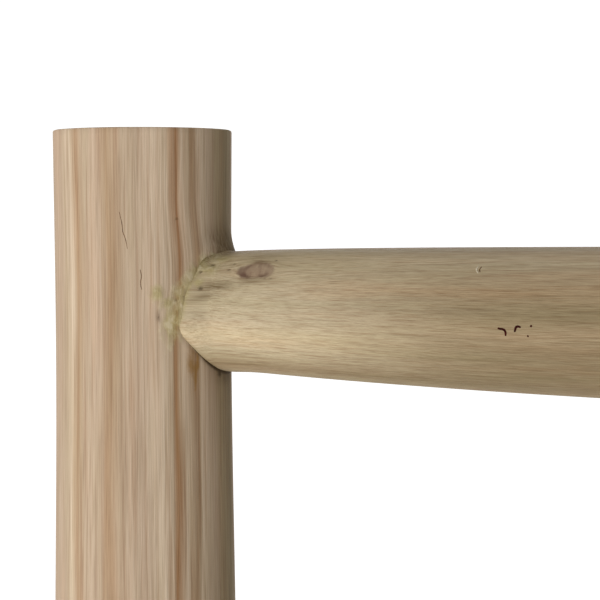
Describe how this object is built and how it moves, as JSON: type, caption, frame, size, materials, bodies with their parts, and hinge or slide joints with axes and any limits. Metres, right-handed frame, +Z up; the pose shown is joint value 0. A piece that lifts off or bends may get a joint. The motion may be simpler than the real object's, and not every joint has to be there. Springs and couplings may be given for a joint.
{
  "type": "ladder shelf",
  "caption": "Free-standing ladder shelf of peeled round poles: a leaning ladder with coped rungs, a rear ladder hinged on one rung, and loose boards laid across both.",
  "frame": {"origin": "on the floor, at the middle of the footprint", "axes": "+Z up; the long ladder is at the front, -Y, and leans back; +X to the right seen from the front"},
  "size_m": [0.6025, 0.6379, 1.5505],
  "materials": {
    "post_wood": "peeled pole, oiled, matt",
    "rung_wood": "shaved pole, oiled, matt",
    "board_wood": "planed board, oiled, matt",
    "zinc_plated_steel": "zinc plated"
  },
  "bodies": {
    "front_ladder": {"pivot_washer_left": "rung_wood", "pivot_washer_right": "rung_wood", "rung_front_1": "rung_wood", "rung_front_2": "rung_wood", "rung_front_3": "rung_wood", "rung_front_4_pivot": "rung_wood", "rung_front_5": "rung_wood", "screw_front_1_left": "zinc_plated_steel", "screw_front_1_right": "zinc_plated_steel", "screw_front_2_left": "zinc_plated_steel", "screw_front_2_right": "zinc_plated_steel", "screw_front_3_left": "zinc_plated_steel", "screw_front_3_right": "zinc_plated_steel", "screw_front_4_left": "zinc_plated_steel", "screw_front_4_right": "zinc_plated_steel", "screw_front_5_left": "zinc_plated_steel", "screw_front_5_right": "zinc_plated_steel", "upright_front_left": "post_wood", "upright_front_right": "post_wood"},
    "rear_ladder": {"rung_rear_1": "rung_wood", "rung_rear_2": "rung_wood", "rung_rear_3": "rung_wood", "screw_rear_1_left": "zinc_plated_steel", "screw_rear_1_right": "zinc_plated_steel", "screw_rear_2_left": "zinc_plated_steel", "screw_rear_2_right": "zinc_plated_steel", "screw_rear_3_left": "zinc_plated_steel", "screw_rear_3_right": "zinc_plated_steel", "upright_rear_left": "post_wood", "upright_rear_right": "post_wood"},
    "lower_shelf": {"lower_board": "board_wood", "lower_screw_front_left": "zinc_plated_steel", "lower_screw_front_right": "zinc_plated_steel", "lower_screw_rear_left": "zinc_plated_steel", "lower_screw_rear_right": "zinc_plated_steel", "lower_strip_front": "board_wood", "lower_strip_rear": "board_wood"},
    "middle_shelf": {"middle_board": "board_wood", "middle_screw_front_left": "zinc_plated_steel", "middle_screw_front_right": "zinc_plated_steel", "middle_screw_rear_left": "zinc_plated_steel", "middle_screw_rear_right": "zinc_plated_steel", "middle_strip_front": "board_wood", "middle_strip_rear": "board_wood"},
    "upper_shelf": {"upper_board": "board_wood", "upper_screw_front_left": "zinc_plated_steel", "upper_screw_front_right": "zinc_plated_steel", "upper_screw_rear_left": "zinc_plated_steel", "upper_screw_rear_right": "zinc_plated_steel", "upper_strip_front": "board_wood", "upper_strip_rear": "board_wood"}
  },
  "joints": [
    {"name": "rear_ladder_fold", "type": "hinge", "parent": "front_ladder", "child": "rear_ladder", "pos_m": [0, 0, 1.17212], "axis": [1, 0, 0], "range_deg": [-18, 0]},
    {"name": "lower_shelf_lift", "type": "slide", "parent": "front_ladder", "child": "lower_shelf", "axis": [0, 0, 1], "range_m": [0, 0.12]},
    {"name": "middle_shelf_lift", "type": "slide", "parent": "front_ladder", "child": "middle_shelf", "axis": [0, 0, 1], "range_m": [0, 0.12]},
    {"name": "upper_shelf_lift", "type": "slide", "parent": "front_ladder", "child": "upper_shelf", "axis": [0, 0, 1], "range_m": [0, 0.12]}
  ]
}
